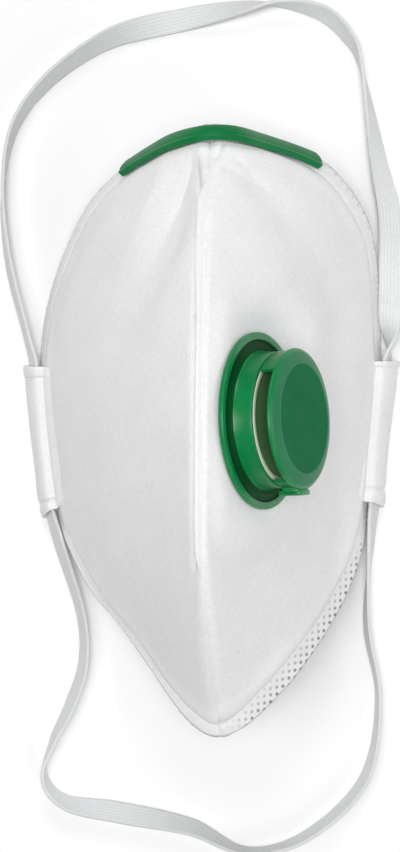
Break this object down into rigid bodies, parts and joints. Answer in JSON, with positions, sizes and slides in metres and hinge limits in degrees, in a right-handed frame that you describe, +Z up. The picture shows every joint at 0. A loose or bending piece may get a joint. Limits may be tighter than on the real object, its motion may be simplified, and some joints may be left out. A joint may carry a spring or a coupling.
{
  "type": "valved dust mask",
  "caption": "Fold-flat cloth dust mask with a green nose clip, a round exhalation valve on one panel and a head strap through two side sleeves.",
  "frame": {"origin": "on the surface the mask rests on, below the middle of the mask without its strap", "axes": "+X from the plain panel to the valve panel, +Y from chin to nose, +Z up from the surface to the seam ridge"},
  "size_m": [0.1211, 0.257, 0.0943],
  "materials": {
    "panel_cloth": "white non-woven cloth with a fine pressed texture",
    "green_plastic": "green moulded plastic, satin to glossy",
    "valve_rubber": "thin cream silicone, matt",
    "strap_elastic": "flat white knitted elastic"
  },
  "bodies": {
    "root": {"left_panel": "panel_cloth", "right_panel": "panel_cloth", "center_seam": "panel_cloth", "nose_clip": "green_plastic", "valve_base": "green_plastic", "valve_membrane": "valve_rubber", "valve_cap": "green_plastic", "valve_retainer": "green_plastic", "left_strap_sleeve": "panel_cloth", "right_strap_sleeve": "panel_cloth", "head_strap": "strap_elastic"}
  },
  "joints": []
}
